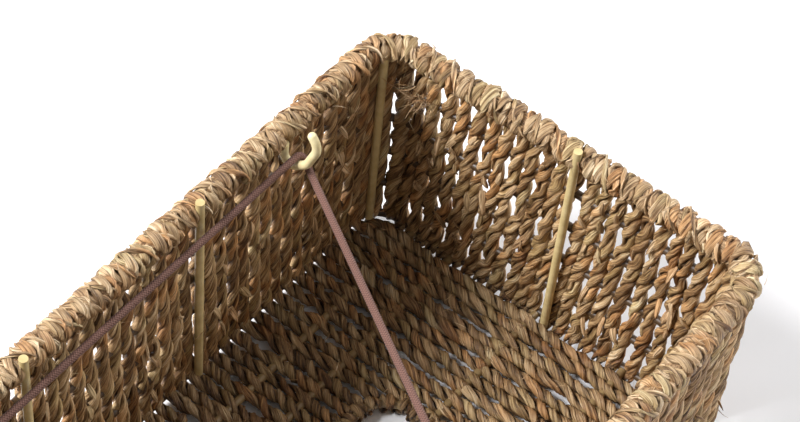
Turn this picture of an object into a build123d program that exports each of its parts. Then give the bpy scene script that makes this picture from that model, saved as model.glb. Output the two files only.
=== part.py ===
from build123d import *
import math
import os

# Seagrass storage basket: a welded frame of 3 mm coated wire, woven over with
# twisted seagrass rope, with a rope-bound rim, a long slot with a rope-bound
# border in its floor, three wire hooks under the rim and an elastic loop
# stretched in a triangle between them.
# Units are millimetres. +Z is up, the basket's mouth faces +Z.
# The origin is the middle of the underside. X runs along the long walls.

# ---------------------------------------------------------------- dimensions
L_MID = 268.0          # length over the wall's mid-surface, along X
W_MID = 148.0          # width over the wall's mid-surface, along Y
R_CORNER = 12.0        # corner radius of the mid-surface
WALL_T = 7.5           # thickness of the woven wall
FLOOR_T = 8.0          # thickness of the woven floor
Z_RIM = 90.5           # height of the rim wire's centre
WIRE_R = 1.5           # frame wire radius
FIT = 0.15             # radial clearance of a wire in the weave around it
BIND_R = 5.4           # radius of the rope binding over the rim wire
Z_BASE = 4.0           # height of the base wire and the floor wires
WIRE_PITCH = 17.3      # vertical pitch of the wall wires
Z_WALL_WIRES = [Z_BASE + WIRE_PITCH * (i + 1) for i in range(4)]
Y_FLOOR_WIRES = [-54.0, -37.0, 37.0, 54.0]
SLOT_X = 72.0          # half length of the slot wire
SLOT_Y = 20.6          # half width of the slot wire
SLOT_CORNER = 13.0     # corner radius of the slot wire
SLOT_BIND_R = 4.0      # radius of the rope binding over the slot wire
STAKE_IN = 2 * WIRE_R + 0.05   # stakes lie on the inner side of the wall wires
STAKE_Z0 = 2.6
STAKE_TOP = 96.4       # cut ends of the side and end stakes
CORNER_STAKE_TOP = 89.5
SIDE_STAKE_X_BACK = (-41.0, 36.5)
SIDE_STAKE_X_FRONT = (-41.6, 36.0)
END_STAKE_Y = -4.7
CORNER_STAKE_ANGLE = 58.0      # degrees from the X axis, about the corner's centre
HOOK_X = 77.0          # back hooks stand at -HOOK_X and +HOOK_X
ELASTIC_R = 1.25       # elastic cord radius
EL_BACK_Y = 66.1       # the run along the back wall
EL_BACK_Z = 85.4
EL_TURN_X = 79.9       # outer side of the turn round a back hook
EL_UNDER_Y = 62.7      # where the cord leaves from under a back hook
EL_UNDER_Z = 79.6
EL_ROOT_Y = 53.0       # the front loop swings about a line at this Y
EL_APEX_Y = -62.05
EL_APEX_Z = 89.5
EL_APEX_X = 2.2
KNOT_R = 2.6
KNOT_LEN = 6.5
KNOT_FROM_ROOT = 34.0  # distance of the knot from the left root

XM, YM = L_MID / 2, W_MID / 2
XC, YC = XM - R_CORNER, YM - R_CORNER
HALF_T = WALL_T / 2

os.makedirs("parts", exist_ok=True)


def save(shape, name):
    export_step(shape, f"parts/{name}.step")


def rod(a, b, r):
    """Straight round bar from a to b."""
    a, b = Vector(*a), Vector(*b)
    d = b - a
    return Solid.make_cylinder(r, d.length, Plane(origin=a, z_dir=d))


def ring(hx, hy, rc, z, r):
    """Closed round bar on a rounded rectangle, from bars and quarter rings."""
    cx, cy = hx - rc, hy - rc
    body = None
    for s in (1, -1):
        for piece in (
            rod((-cx, s * hy, z), (cx, s * hy, z), r),
            rod((s * hx, -cy, z), (s * hx, cy, z), r),
        ):
            body = piece if body is None else body.fuse(piece)
    for k, (sx, sy) in enumerate(((1, 1), (-1, 1), (-1, -1), (1, -1))):
        section = Plane.XZ * Pos(rc, 0) * Circle(r)
        quarter = revolve(section, Axis.Z, 90)
        quarter = Pos(sx * cx, sy * cy, z) * Rot(0, 0, 90 * k) * quarter
        body = body.fuse(quarter.solid())
    return body.solid() if hasattr(body, "solid") else body


def tube(points, radii, r):
    """Round bar along straight runs joined by tangent arcs."""
    path = FilletPolyline(*points, radius=radii)
    wire = path if isinstance(path, Wire) else Wire(path.edges())
    section = Plane(origin=wire @ 0, z_dir=wire % 0) * Circle(r)
    solid = sweep(section, path=wire)
    length = wire.length
    want = math.pi * r * r * length
    print(f"tube r={r} length={length:.2f} volume={solid.volume:.1f} expected={want:.1f} radii={radii}")
    return solid.solid(), wire


# ------------------------------------------------------------- frame wires
rim_wire = ring(XM, YM, R_CORNER, Z_RIM, WIRE_R)
wall_wires = [ring(XM, YM, R_CORNER, z, WIRE_R) for z in Z_WALL_WIRES]
base_wire = ring(XM, YM, R_CORNER, Z_BASE, WIRE_R)
slot_wire = ring(SLOT_X, SLOT_Y, SLOT_CORNER, Z_BASE, WIRE_R)

X_END = XM - WIRE_R - 0.05          # floor wires butt against the base wire
floor_wires = {
    f"floor_wire_{i + 1}": rod((-X_END, y, Z_BASE), (X_END, y, Z_BASE), WIRE_R)
    for i, y in enumerate(Y_FLOOR_WIRES)
}
X_IN = SLOT_X + WIRE_R + 0.05
floor_wires["floor_wire_left"] = rod((-X_END, 0, Z_BASE), (-X_IN, 0, Z_BASE), WIRE_R)
floor_wires["floor_wire_right"] = rod((X_IN, 0, Z_BASE), (X_END, 0, Z_BASE), WIRE_R)

# stakes: upright wires on the inner side of the wall
stake_at = {}
for name, x in zip(("stake_back_left", "stake_back_right"), SIDE_STAKE_X_BACK):
    stake_at[name] = (x, YM - STAKE_IN, STAKE_TOP)
for name, x in zip(("stake_front_left", "stake_front_right"), SIDE_STAKE_X_FRONT):
    stake_at[name] = (x, -(YM - STAKE_IN), STAKE_TOP)
stake_at["stake_left_end"] = (-(XM - STAKE_IN), -END_STAKE_Y, STAKE_TOP)
stake_at["stake_right_end"] = (XM - STAKE_IN, END_STAKE_Y, STAKE_TOP)
ca = math.radians(CORNER_STAKE_ANGLE)
rs = R_CORNER - STAKE_IN
for name, sx, sy in (
    ("stake_back_right_corner", 1, 1),
    ("stake_back_left_corner", -1, 1),
    ("stake_front_left_corner", -1, -1),
    ("stake_front_right_corner", 1, -1),
):
    stake_at[name] = (
        sx * (XC + rs * math.cos(ca)),
        sy * (YC + rs * math.sin(ca)),
        CORNER_STAKE_TOP,
    )
stakes = {
    n: rod((x, y, STAKE_Z0), (x, y, top), WIRE_R) for n, (x, y, top) in stake_at.items()
}
stake_cuts = [
    rod((x, y, STAKE_Z0 - FIT), (x, y, top + (6 if top > 90 else FIT)), WIRE_R + FIT)
    for (x, y, top) in stake_at.values()
]

# hooks: each in an upright plane across the wall, (distance in from the wall's
# mid-surface, height); the free end is rounded
BACK_HOOK = [(3.2, Z_RIM - WIRE_R - 0.1), (3.1, 77.6), (12.5, 85.4), (16.9, 96.4), (14.0, 100.4)]
FRONT_HOOK = [(3.2, Z_RIM - WIRE_R - 0.1), (3.2, 81.1), (14.6, 82.6), (16.5, 100.4)]
BACK_BENDS = [3.1, 7.6, 6.6]
FRONT_BENDS = [4.4, 6.0]


def hook(x, side, pts, bends, r, tip=True):
    p3 = [(x, side * (YM - n), z) for n, z in pts]
    solid, _ = tube(p3, bends, r)
    if tip:
        end = Pos(*p3[-1]) * Sphere(r)
        solid = solid.fuse(end.solid())
        solid = solid.solid() if hasattr(solid, "solid") else solid
    return solid


hooks = {
    "hook_back_left": hook(-HOOK_X, 1, BACK_HOOK, BACK_BENDS, WIRE_R),
    "hook_back_right": hook(HOOK_X, 1, BACK_HOOK, BACK_BENDS, WIRE_R),
    "hook_front": hook(0.0, -1, FRONT_HOOK, FRONT_BENDS, WIRE_R),
}
hook_cuts = [
    hook(-HOOK_X, 1, BACK_HOOK, BACK_BENDS, WIRE_R + FIT, False),
    hook(HOOK_X, 1, BACK_HOOK, BACK_BENDS, WIRE_R + FIT, False),
    hook(0.0, -1, FRONT_HOOK, FRONT_BENDS, WIRE_R + FIT, False),
]

# ---------------------------------------------------------------- woven walls
# One profile across the wall serves the straight walls and the corners: a
# slab with a round channel for each wire and a hollow top under the binding.
Z_WALL_TOP = Z_RIM - math.sqrt((BIND_R + 0.1) ** 2 - HALF_T ** 2)


def wall_profile(offset):
    """Profile in the XZ plane, its mid-surface at x = offset."""
    slab = Pos(offset, Z_WALL_TOP / 2) * Rectangle(WALL_T, Z_WALL_TOP)
    slab -= Pos(offset, Z_RIM) * Circle(BIND_R + 0.1)
    for z in [Z_BASE] + Z_WALL_WIRES:
        slab -= Pos(offset, z) * Circle(WIRE_R + FIT)
    return slab


def straight_wall(length):
    """Wall along Y, centred, its mid-surface at x = 0."""
    face = Plane.XZ * wall_profile(0)
    body = extrude(face, amount=length / 2, both=True)
    return body


floor_wire_cuts = [
    rod((-X_END - 1.2, y, Z_BASE), (X_END + 1.2, y, Z_BASE), WIRE_R + FIT)
    for y in Y_FLOOR_WIRES + [0.0]
]


def cut_all(body, cutters):
    bb = body.bounding_box()
    for c in cutters:
        cb = c.bounding_box()
        if (
            cb.min.X < bb.max.X and cb.max.X > bb.min.X
            and cb.min.Y < bb.max.Y and cb.max.Y > bb.min.Y
            and cb.min.Z < bb.max.Z and cb.max.Z > bb.min.Z
        ):
            body = body - c
    return body


wall_cuts = stake_cuts + hook_cuts + floor_wire_cuts
long_wall = straight_wall(2 * XC)
short_wall = straight_wall(2 * YC)
weaves = {
    "weave_back": Pos(0, YM, 0) * Rot(0, 0, 90) * long_wall,
    "weave_front": Pos(0, -YM, 0) * Rot(0, 0, 90) * long_wall,
    "weave_right": Pos(XM, 0, 0) * short_wall,
    "weave_left": Pos(-XM, 0, 0) * short_wall,
}
corner = revolve(Plane.XZ * wall_profile(R_CORNER), Axis.Z, 90)
for k, (name, sx, sy) in enumerate(
    (
        ("weave_corner_back_right", 1, 1),
        ("weave_corner_back_left", -1, 1),
        ("weave_corner_front_left", -1, -1),
        ("weave_corner_front_right", 1, -1),
    )
):
    weaves[name] = Pos(sx * XC, sy * YC, 0) * Rot(0, 0, 90 * k) * corner
weaves = {n: cut_all(w, wall_cuts) for n, w in weaves.items()}

# ---------------------------------------------------------------- woven floor
GAP = 0.05
floor = extrude(
    RectangleRounded(
        2 * (XM - HALF_T - GAP), 2 * (YM - HALF_T - GAP), R_CORNER - HALF_T - GAP
    ),
    FLOOR_T,
)
slot_hole = extrude(
    RectangleRounded(2 * SLOT_X, 2 * SLOT_Y, SLOT_CORNER), FLOOR_T
)
floor -= slot_hole
slot_bind_cut = ring(SLOT_X, SLOT_Y, SLOT_CORNER, Z_BASE, SLOT_BIND_R + 0.05)
floor = cut_all(floor, [slot_bind_cut] + stake_cuts + floor_wire_cuts)

slot_binding = ring(SLOT_X, SLOT_Y, SLOT_CORNER, Z_BASE, SLOT_BIND_R)
slot_binding = slot_binding - ring(SLOT_X, SLOT_Y, SLOT_CORNER, Z_BASE, WIRE_R + FIT)
for s in (-1, 1):
    slot_binding -= rod(
        (s * SLOT_X, 0, Z_BASE), (s * (SLOT_X + 8), 0, Z_BASE), WIRE_R + FIT
    )

# ---------------------------------------------------------------- rim binding
rim_binding = ring(XM, YM, R_CORNER, Z_RIM, BIND_R)
rim_binding = rim_binding - ring(XM, YM, R_CORNER, Z_RIM, WIRE_R + FIT)
rim_binding = cut_all(rim_binding, stake_cuts + hook_cuts)

# --------------------------------------------------------------- elastic loop
P1 = Vector(EL_TURN_X, EL_BACK_Y, EL_BACK_Z)
P2 = Vector(EL_TURN_X, EL_UNDER_Y, EL_UNDER_Z)
A1 = Vector(EL_APEX_X, EL_APEX_Y, EL_APEX_Z)
d = (A1 - P2).normalized()
s_root = (EL_ROOT_Y - P2.Y) / d.Y
ROOT = P2 + d * s_root
print("elastic root", ROOT, "direction", d)


def mirror_x(v):
    return Vector(-v.X, v.Y, v.Z)


stop = ROOT - d * (ELASTIC_R + 0.3)
elastic_back, w1 = tube(
    [mirror_x(stop), mirror_x(P2), mirror_x(P1), P1, P2, stop],
    [2.6, 2.6, 2.6, 2.6],
    ELASTIC_R,
)
elastic_front, w2 = tube(
    [ROOT, A1, mirror_x(A1), mirror_x(ROOT)], [3.3, 3.3], ELASTIC_R
)
for p in (ROOT, mirror_x(ROOT)):
    elastic_front = elastic_front.fuse((Pos(*p) * Sphere(ELASTIC_R)).solid())
elastic_front = elastic_front.solid() if hasattr(elastic_front, "solid") else elastic_front
print("elastic length", w1.length + w2.length + 2 * (ELASTIC_R + 0.3))

# the knot that closes the loop, a short barrel on the left run of the loop
dl = (mirror_x(A1) - mirror_x(ROOT)).normalized()
k0 = mirror_x(ROOT) + dl * KNOT_FROM_ROOT
k1 = k0 + dl * KNOT_LEN
knot = rod(tuple(k0), tuple(k1), KNOT_R)
knot = fillet(Part(knot.wrapped).edges().filter_by(GeomType.CIRCLE), 1.6)
knot = knot - rod(tuple(k0 - dl * 1), tuple(k1 + dl * 1), ELASTIC_R + 0.05)

# ---------------------------------------------------------------------- write
save(rim_wire, "rim_wire")
for i, w in enumerate(wall_wires):
    save(w, f"wall_wire_{i + 1}")
save(base_wire, "base_wire")
save(slot_wire, "slot_wire")
for n, w in floor_wires.items():
    save(w, n)
for n, w in stakes.items():
    save(w, n)
for n, w in hooks.items():
    save(w, n)
for n, w in weaves.items():
    save(w, n)
save(floor, "weave_floor")
save(slot_binding, "slot_binding")
save(rim_binding, "rim_binding")
save(elastic_back, "elastic_back_run")
save(elastic_front, "elastic_front_loop")
save(knot, "elastic_knot")
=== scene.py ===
import bpy
import math
import numpy as np
from mathutils import Matrix, Vector


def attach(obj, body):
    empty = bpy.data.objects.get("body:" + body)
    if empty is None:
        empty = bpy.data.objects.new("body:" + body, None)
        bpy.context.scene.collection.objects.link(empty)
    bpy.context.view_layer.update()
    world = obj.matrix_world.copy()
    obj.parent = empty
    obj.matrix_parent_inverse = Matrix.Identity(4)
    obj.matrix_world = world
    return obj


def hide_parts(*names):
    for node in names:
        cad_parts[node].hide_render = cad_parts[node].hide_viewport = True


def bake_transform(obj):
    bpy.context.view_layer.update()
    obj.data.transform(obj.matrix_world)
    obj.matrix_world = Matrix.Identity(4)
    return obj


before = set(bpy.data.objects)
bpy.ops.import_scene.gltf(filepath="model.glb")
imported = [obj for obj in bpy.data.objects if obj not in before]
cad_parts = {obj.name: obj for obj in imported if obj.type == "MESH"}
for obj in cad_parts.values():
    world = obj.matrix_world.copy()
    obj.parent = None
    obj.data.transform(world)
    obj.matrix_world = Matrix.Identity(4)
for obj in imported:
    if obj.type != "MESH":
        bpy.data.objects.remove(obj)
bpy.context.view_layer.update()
rng = np.random.default_rng(20)
MM = 0.001

# ------------------------------------------------------------------ geometry
# All lengths below are in millimetres in the row frame; meshes are written in
# metres. The numbers repeat the CAD frame: mid-surface of the wall, wire
# heights and so on.
XM, YM, RC = 134.0, 74.0, 12.0
XC, YC = XM - RC, YM - RC
Z_RIM, Z_BASE = 90.5, 4.0
PITCH_Z = 17.3
WIRES_Z = [Z_BASE + PITCH_Z * k for k in range(1, 5)]
SLOT_X, SLOT_Y, SLOT_R = 72.0, 20.6, 13.0
HOOKS = [(77.0, 1), (-77.0, 1), (0.0, -1)]
STAKES_BACK = (-41.0, 36.5)
STAKES_FRONT = (-41.6, 36.0)


def unit(v):
    v = np.asarray(v, float)
    return v / np.maximum(np.linalg.norm(v, axis=-1, keepdims=True), 1e-12)


class Batch:
    """Collects strands and writes them as one mesh with the strand attributes
    that the seagrass material reads."""

    def __init__(self):
        self.v, self.f4, self.f3 = [], [], []
        self.fib, self.tone, self.hue, self.painted_shade = [], [], [], []
        self.n = 0

    def strand(self, C, er, et, a, b, s, tone, hue, axis=None, reach=1.0,
               sides=12, wob=0.06, tip=(0.45, 0.45), lobes=3, groove=0.10, edge=0.0):
        """A closed tapered tube along C (M x 3). er, et: cross-section axes,
        a along et, b along er. axis: centre line of the rope it belongs to."""
        M = len(C)
        a = np.broadcast_to(np.asarray(a, float), (M,)).copy()
        b = np.broadcast_to(np.asarray(b, float), (M,)).copy()
        for i, w in ((0, tip[0]), (1, (1 + tip[0]) / 2)):
            a[i] *= w; b[i] *= w
        for i, w in ((-1, tip[1]), (-2, (1 + tip[1]) / 2)):
            a[i] *= w; b[i] *= w
        th = np.arange(sides) * 2 * np.pi / sides
        p = rng.uniform(0, 6.28, 4)
        sl = s[:, None]
        g = (1 + wob * np.sin(2 * th + p[0] + 0.23 * sl)
             + 0.7 * wob * np.sin(3 * th + p[1] - 0.31 * sl)
             + 0.5 * wob * np.sin(0.9 * sl + p[2]))
        if groove:
            g = g - groove * (1 - np.abs(np.sin(0.5 * lobes * (th + p[3] + 0.09 * sl)))) ** 1.5 \
                + 0.4 * groove
        cb = (b[:, None] * g * np.cos(th) * np.abs(np.cos(th)) ** edge)[..., None]
        ca = (a[:, None] * g * np.sin(th))[..., None]
        V = C[:, None, :] + cb * er[:, None, :] + ca * et[:, None, :]
        off = rng.uniform(-400, 400, 3)
        fib = np.stack([np.broadcast_to(b[:, None] * np.cos(th), (M, sides)) + off[0],
                        np.broadcast_to(a[:, None] * np.sin(th), (M, sides)) + off[1],
                        np.broadcast_to(sl, (M, sides)) + off[2]], -1)
        # painted shade: the mask falls towards the rope's axis, standing in for the shade in the grooves between the
        # plies
        if axis is None:
            painted_shade = np.ones((M, sides))
        else:
            d = np.linalg.norm(V - axis[:, None, :], axis=-1)
            painted_shade = np.clip((d / reach - 0.30) / 0.6, 0, 1)
        tn = np.broadcast_to(np.asarray(tone, float).reshape(-1, 1), (M, sides))
        hu = np.broadcast_to(np.asarray(hue, float).reshape(-1, 1), (M, sides))
        base = self.n
        i = np.arange(M - 1)[:, None] * sides
        j = np.arange(sides)[None, :]
        k = (j + 1) % sides
        q = np.stack([i + j, i + k, i + sides + k, i + sides + j], -1).reshape(-1, 4) + base
        self.f4.append(q)
        c0, c1 = base + M * sides, base + M * sides + 1
        jj = np.arange(sides); kk = (jj + 1) % sides
        self.f3.append(np.stack([np.full(sides, c0), base + kk, base + jj], -1))
        last = base + (M - 1) * sides
        self.f3.append(np.stack([np.full(sides, c1), last + jj, last + kk], -1))
        T0, T1 = unit(C[1] - C[0]), unit(C[-1] - C[-2])
        ends = np.stack([C[0] - T0 * b[0] * 0.5, C[-1] + T1 * b[-1] * 0.5])
        self.v.append(V.reshape(-1, 3)); self.v.append(ends)
        self.fib.append(fib.reshape(-1, 3)); self.fib.append(np.stack([fib[0, 0], fib[-1, 0]]))
        self.tone.append(tn.reshape(-1)); self.tone.append(np.array([tn[0, 0], tn[-1, 0]]))
        self.hue.append(hu.reshape(-1)); self.hue.append(np.array([hu[0, 0], hu[-1, 0]]))
        self.painted_shade.append(painted_shade.reshape(-1)); self.painted_shade.append(np.array([painted_shade[0].mean(), painted_shade[-1].mean()]))
        self.n += M * sides + 2

    def mesh(self, name):
        v = np.concatenate(self.v) * MM
        f4 = np.concatenate(self.f4); f3 = np.concatenate(self.f3)
        me = bpy.data.meshes.new(name)
        me.vertices.add(len(v))
        me.vertices.foreach_set("co", v.astype(np.float32).ravel())
        loops = np.concatenate([f4.ravel(), f3.ravel()])
        me.loops.add(len(loops))
        me.loops.foreach_set("vertex_index", loops.astype(np.int32))
        me.polygons.add(len(f4) + len(f3))
        starts = np.concatenate([np.arange(len(f4)) * 4, len(f4) * 4 + np.arange(len(f3)) * 3])
        me.polygons.foreach_set("loop_start", starts.astype(np.int32))
        me.polygons.foreach_set("use_smooth", np.ones(len(f4) + len(f3), bool))
        me.update(calc_edges=True)
        at = me.attributes.new("sg_fib", "FLOAT_VECTOR", "POINT")
        at.data.foreach_set("vector", np.concatenate(self.fib).astype(np.float32).ravel())
        for key, arr in (("sg_tone", self.tone), ("sg_hue", self.hue), ("sg_painted_shade", self.painted_shade)):
            at = me.attributes.new(key, "FLOAT", "POINT")
            at.data.foreach_set("value", np.concatenate(arr).astype(np.float32))
        me.validate()
        ob = bpy.data.objects.new(name, me)
        bpy.context.scene.collection.objects.link(ob)
        return ob


def arclen(P):
    return np.concatenate([[0], np.cumsum(np.linalg.norm(np.diff(P, axis=0), axis=1))])


def frames(P, N):
    T = unit(np.gradient(P, axis=0))
    N = unit(N - (N * T).sum(-1, keepdims=True) * T)
    return T, N, np.cross(T, N)


def rope(batch, P, N, plies=2, hn=1.0, hb=1.05, a=1.3, b=1.12, lay=12.8, phase=None,
         tone=0.5, tone_var=0.15, sides=12, tip=(0.45, 0.45), wob=0.07, hue=None,
         groove=0.10, lobes=3, spread=None, edge=0.0,
         slow=0.0, front=0.0):
    """A twisted rope of flat-leaf plies, laid right-handed about the line P.
    phase may be a full array (twining in step with the wires); hn, hb, a and
    b may vary along the rope. spread widens the ply that lies over a wire.
    slow makes the plies lie long and steep on the side given by front and
    cross over quickly at the edges."""
    s = arclen(P)
    T, N, B = frames(P, N)
    if phase is None or np.isscalar(phase):
        p0 = rng.uniform(0, 2 * np.pi) if phase is None else phase
        lay = lay * rng.uniform(0.9, 1.12)
        phase = p0 + 2 * np.pi * s / lay + 0.35 * np.sin(s / rng.uniform(9, 16) + rng.uniform(0, 6))
    phase = phase - slow / plies * np.sin(plies * (phase - front))
    hn = np.broadcast_to(np.asarray(hn, float), s.shape)
    hb = np.broadcast_to(np.asarray(hb, float), s.shape)
    a = np.broadcast_to(np.asarray(a, float), s.shape)
    b = np.broadcast_to(np.asarray(b, float), s.shape)
    reach = (np.maximum(hn, hb) + b)[:, None]
    for k in range(plies):
        ph = phase + 2 * np.pi * k / plies + 0.12 * np.sin(s / rng.uniform(3, 6) + rng.uniform(0, 6))
        c, q = np.cos(ph)[:, None], np.sin(ph)[:, None]
        thick = 1 + 0.13 * np.sin(s / rng.uniform(2.5, 7) + rng.uniform(0, 6)) + rng.uniform(-0.11, 0.11)
        off = hn[:, None] * c * N + hb[:, None] * q * B
        C = P + off
        Tk = unit(np.gradient(C, axis=0))
        er = unit(c * N / np.maximum(hn[:, None], 0.3) + q * B / np.maximum(hb[:, None], 0.3))
        er = unit(er - (er * Tk).sum(-1, keepdims=True) * Tk)
        et = np.cross(Tk, er)
        tn = tone + rng.normal(0, tone_var) + 0.07 * np.sin(s / rng.uniform(5, 12) + rng.uniform(0, 6))
        if hue is None:
            hu = np.clip(0.5 + 0.34 * np.sin(s / rng.uniform(5, 11) + rng.uniform(0, 6.3))
                         + 0.26 * np.sin(s / rng.uniform(2.2, 4.5) + rng.uniform(0, 6.3))
                         + rng.normal(0, 0.12), 0, 1)
        else:
            hu = hue
        ak = a if spread is None else a + spread * np.cos(ph) ** 2
        batch.strand(C, er, et, ak * thick, b * thick, s, np.clip(tn, 0.02, 0.98), hu,
                     axis=P, reach=reach, sides=sides, wob=wob, tip=tip, groove=groove, lobes=lobes, edge=edge)


def twine(s, stations, three, start):
    """Phase of a pair of plies that encloses every wire at the stations, and
    how close each point is to a wire (1 on it). Two or three half turns from
    one wire to the next; three is the share of threes, one value or one per
    interval."""
    st = np.asarray(stations, float)
    m = len(st) - 1
    half = 2.0 + (rng.uniform(size=m) < np.broadcast_to(three, (m,)))
    total = np.concatenate([[0.0], np.cumsum(half)])
    idx = np.interp(s, st, np.arange(len(st)))
    ease = idx - 0.05 * np.sin(2 * np.pi * idx)
    ph = np.interp(ease, np.arange(len(st)), total)
    ph = ph - np.where(s < st[0], (st[0] - s) / 6.5, 0) + np.where(s > st[-1], (s - st[-1]) / 6.5, 0)
    near = np.exp(-(np.abs(s[:, None] - st[None, :]).min(1) / 3.0) ** 2)
    return np.pi * (ph + start), near


def lay_points(pts, radius, step):
    """A run of straight lines with tangent arcs, sampled evenly. pts: K x 2."""
    pts = [np.asarray(p, float) for p in pts]
    dense = [pts[0]]
    for i in range(1, len(pts) - 1):
        A, Bp, Cp = pts[i - 1], pts[i], pts[i + 1]
        u, w = unit(A - Bp), unit(Cp - Bp)
        half = math.acos(np.clip((u * w).sum(), -1, 1)) / 2
        t = radius / math.tan(half)
        c = Bp + unit(u + w) * radius / math.sin(half)
        p0, p1 = Bp + u * t, Bp + w * t
        v0, v1 = p0 - c, p1 - c
        for f in np.linspace(0, 1, 14):
            m = unit(v0 * (1 - f) + v1 * f) * radius
            dense.append(c + m)
    dense.append(pts[-1])
    dense = np.array(dense)
    d = np.concatenate([[0], np.cumsum(np.linalg.norm(np.diff(dense, axis=0), axis=1))])
    n = max(4, int(round(d[-1] / step)) + 1)
    s = np.linspace(0, d[-1], n)
    return np.stack([np.interp(s, d, dense[:, k]) for k in range(dense.shape[1])], -1), s


STEP = 1.2
X_COLS = [-122.0 + (244.0 / 44) * k for k in range(45)]
Y_COLS = [-4.7 + 5.5 * (k + 0.5) * (1.042 if k < 0 else 1.012) for k in range(-10, 12)]
CORNER_DEG = (73.0, 45.0, 14.0)
TOP_Z = 88.6

walls = {n: Batch() for n in ("back", "front", "left", "right", "corner_back_right",
                              "corner_back_left", "corner_front_left", "corner_front_right")}
floor_parts = {"rear": Batch(), "fore": Batch()}


def slot_y(x):
    """Half width of the slot wire at x, or None beyond it."""
    ax = abs(x)
    if ax >= SLOT_X - 0.6:
        return None
    if ax <= SLOT_X - SLOT_R:
        return SLOT_Y
    return SLOT_Y - SLOT_R + math.sqrt(SLOT_R ** 2 - (ax - (SLOT_X - SLOT_R)) ** 2)


def jitter(s, amp):
    return (amp * np.sin(s / rng.uniform(7, 13) + rng.uniform(0, 6.3))
            + 0.6 * amp * np.sin(s / rng.uniform(3, 5) + rng.uniform(0, 6.3)))


def neighbours(x, places, reach):
    """Sideways push away from stakes standing between the ropes."""
    d = 0.0
    for q in places:
        if abs(x - q) < reach:
            d += math.copysign(0.75, x - q)
    return d


def gauge(near, k, eye=0.0):
    """Section of the plies on a wall, drawn in where an eye opens beside the
    rope and wider over the wires."""
    q = k * (1 - 0.22 * eye)
    return dict(hn=1.22 + 0.20 * near, hb=1.56 * q, a=1.46 * q + 0.12 * near, b=1.23 * k * (1 - 0.10 * eye),
                spread=0.0 * near, plies=3, sides=10, groove=0.24, edge=0.30, lobes=3, slow=0.42)


def floor_gauge(near, k, eye=0.0):
    q = k * (1 - 0.20 * eye)
    return dict(hn=1.02 + 0.25 * near, hb=1.30 * q, a=1.55 * q, b=1.30 * k, spread=0.4 * near,
                plies=2, sides=14, groove=0.26, edge=0.32, lobes=4, slow=0.25)


def strand_phase(s, spacing=8.8):
    """Phase of three plies with one ply crossing the face every spacing."""
    lay = 3 * spacing * rng.uniform(0.90, 1.12)
    return (2 * np.pi * s / lay + rng.uniform(0, 6.3) + 0.30 * np.sin(s / rng.uniform(8, 14) + rng.uniform(0, 6.3)))


def make_eyes(gaps, rows, share, size):
    """Eyes between neighbouring ropes: for every gap a list of (place along
    the rope, half length, half width)."""
    table = []
    for _ in range(gaps):
        row = []
        for lo, hi in rows:
            if rng.uniform() < share:
                mid = (lo + hi) / 2 + rng.uniform(-0.16, 0.16) * (hi - lo)
                row.append((mid, rng.uniform(0.17, 0.30) * (hi - lo), size * rng.uniform(0.45, 1.15)))
        table.append(row)
    return table


def eye_pull(table, gap, z):
    """Opening of the eyes in one gap along z."""
    d = np.zeros_like(z)
    if 0 <= gap < len(table):
        for mid, h, w in table[gap]:
            d = d + w * np.exp(-np.abs((z - mid) / h) ** 2.6)
    return d


def leaning(u, half, total):
    """Sideways drift of a column from its foot to the rim: none at the
    corners, full along the middle of a wall."""
    return total * np.clip((half - abs(u)) / 32.0, 0, 1)


# phase at which a ply faces out to the open side of each wall, in radians
FACE = {k: math.radians(v) for k, v in dict(back=57, front=123, fore=57, right=-33, left=33,
                                            floor=34, floor_fore=-34).items()}
WALL_ROWS = [(7.0, WIRES_Z[0]), (WIRES_Z[0], WIRES_Z[1]), (WIRES_Z[1], WIRES_Z[2]),
             (WIRES_Z[2], WIRES_Z[3]), (WIRES_Z[3], 87.0)]
FLOOR_ROWS = [(-68.0, -54.0), (-54.0, -37.0), (-37.0, -18.5), (-18.5, 0.0), (0.0, 18.5),
              (18.5, 37.0), (37.0, 54.0), (54.0, 68.0)]
eyes = {"back": make_eyes(44, WALL_ROWS, 0.70, 0.95), "front": make_eyes(44, WALL_ROWS, 0.50, 0.8),
        "right": make_eyes(21, WALL_ROWS, 0.74, 1.0), "left": make_eyes(21, WALL_ROWS, 0.66, 0.9),
        "floor": make_eyes(44, FLOOR_ROWS, 0.60, 0.85)}

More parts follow.
